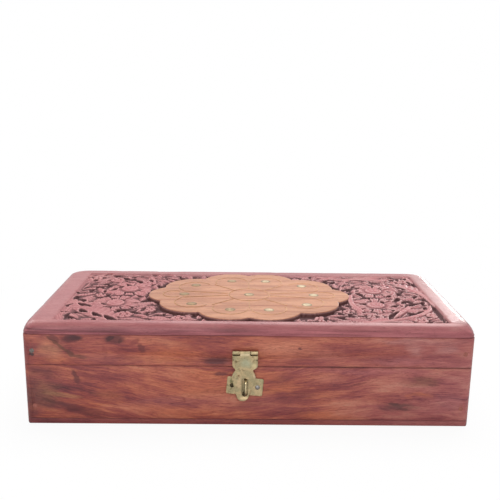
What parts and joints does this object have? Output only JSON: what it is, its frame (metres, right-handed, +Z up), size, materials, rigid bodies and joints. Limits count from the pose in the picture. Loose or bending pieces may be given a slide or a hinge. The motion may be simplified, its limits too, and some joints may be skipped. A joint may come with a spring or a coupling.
{
  "type": "inlaid wooden box",
  "caption": "Low rectangular wooden keepsake box with a hinged lid, a carved floral top round an inlaid medallion, and a brass hasp that folds over a staple.",
  "frame": {"origin": "middle of the wooden box's bottom face", "axes": "+X right along the length, +Y to the back, +Z up; the hasp is on the -Y face"},
  "size_m": [0.25, 0.1229, 0.0606],
  "materials": {
    "side_wood": "polished sheesham, orange-brown and plum streaks along the grain",
    "bottom_wood": "dark plum-brown polished wood",
    "carved_wood": "carved wood, stained mauve-pink with dark cuts, and a tan medallion",
    "inlay_brass": "flush brass, dull with dark edges",
    "hinge_brass": "plain sheet brass",
    "hasp_brass": "aged olive-gold sheet brass with blotches",
    "steel": "dull steel nails"
  },
  "bodies": {
    "base": {"base_front_board": "side_wood", "base_back_board": "side_wood", "base_left_end": "side_wood", "base_right_end": "side_wood", "base_bottom_board": "bottom_wood", "base_corner_nails": "steel", "base_bottom_nails": "steel", "hinge_left_base_leaf": "hinge_brass", "hinge_right_base_leaf": "hinge_brass", "hinge_left_pin": "steel", "hinge_right_pin": "steel", "base_hinge_nails": "steel", "staple_plate": "hasp_brass", "staple_loop": "hasp_brass", "staple_nails": "steel"},
    "lid": {"lid_top_board": "carved_wood", "lid_front_rail": "side_wood", "lid_back_rail": "side_wood", "lid_left_rail": "side_wood", "lid_right_rail": "side_wood", "lid_corner_nails": "steel", "inlay_discs": "inlay_brass", "inlay_lines": "inlay_brass", "hinge_left_lid_leaf": "hinge_brass", "hinge_right_lid_leaf": "hinge_brass", "lid_hinge_nails": "steel", "hasp_plate": "hasp_brass", "hasp_pin": "hasp_brass", "hasp_nails": "steel"},
    "hasp": {"hasp_leaf": "hasp_brass"}
  },
  "joints": [
    {"name": "lid_hinge", "type": "hinge", "parent": "base", "child": "lid", "pos_m": [0, 0.05665, 0.0355], "axis": [-1, 0, 0], "range_deg": [0, 105]},
    {"name": "hasp_hinge", "type": "hinge", "parent": "lid", "child": "hasp", "pos_m": [-0.0024, -0.05835, 0.044], "axis": [-1, 0, 0], "range_deg": [0, 170]}
  ]
}
